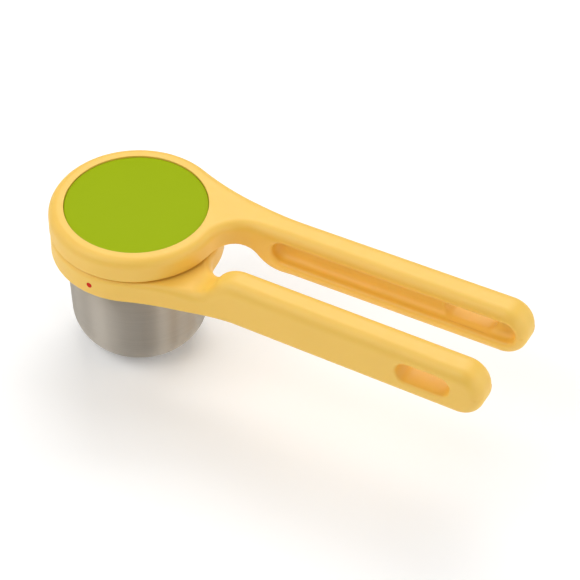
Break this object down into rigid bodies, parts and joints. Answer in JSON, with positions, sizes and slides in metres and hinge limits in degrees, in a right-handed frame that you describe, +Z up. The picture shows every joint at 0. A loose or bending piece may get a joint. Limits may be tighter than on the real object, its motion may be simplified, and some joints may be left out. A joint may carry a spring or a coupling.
{
  "type": "potato ricer",
  "caption": "Twist-action potato ricer with two long side-by-side handles, a round head with a cover disc, and a perforated steel basket under a ring.",
  "frame": {"origin": "centre of the basket's flat bottom, which is the lowest point", "axes": "+Z up along the press axis, out of the basket and through the head; +X along the two handles, from the head to their tips; +Y to the upper handle's side"},
  "size_m": [0.2905, 0.102, 0.1],
  "materials": {
    "handle_plastic": "soft satin moulded plastic, pale yellow",
    "cover_plastic": "satin moulded plastic, lime green",
    "basket_steel": "brushed round the axis",
    "plate_steel": "brushed round the axis",
    "barrel_plastic": "satin moulded plastic, off-white",
    "bearing_plastic": "smooth acetal",
    "seal_rubber": "pale silicone rubber",
    "screw_steel": "stainless steel, turned",
    "mark_red": "red inlaid plastic"
  },
  "bodies": {
    "lower_frame": {"lower_handle": "handle_plastic", "basket": "basket_steel", "basket_gasket": "seal_rubber", "thread_collar": "barrel_plastic", "guide_pins": "screw_steel", "collar_screws": "screw_steel", "alignment_dot": "mark_red"},
    "plunger_plate": {"press_plate": "plate_steel", "plate_carrier": "barrel_plastic", "plate_rivets": "screw_steel", "pivot_screw": "screw_steel", "thrust_washer": "bearing_plastic"},
    "upper_frame": {"upper_handle": "handle_plastic", "cover_disc": "cover_plastic", "cover_seal": "seal_rubber", "helix_barrel": "barrel_plastic", "barrel_screws": "screw_steel", "barrel_floor": "barrel_plastic", "floor_screws": "screw_steel", "pivot_bush": "bearing_plastic"}
  },
  "joints": [
    {"name": "plate_travel", "type": "slide", "parent": "lower_frame", "child": "plunger_plate", "axis": [0, 0, 1], "range_m": [0, 0.0421]},
    {"name": "handle_turn", "type": "hinge", "parent": "plunger_plate", "child": "upper_frame", "pos_m": [0, 0, 0], "axis": [0, 0, 1], "range_deg": [0, 180]}
  ],
  "couplings": [
    {"joint": "plate_travel", "follows": "handle_turn", "m_per_rad": 0.013369}
  ]
}
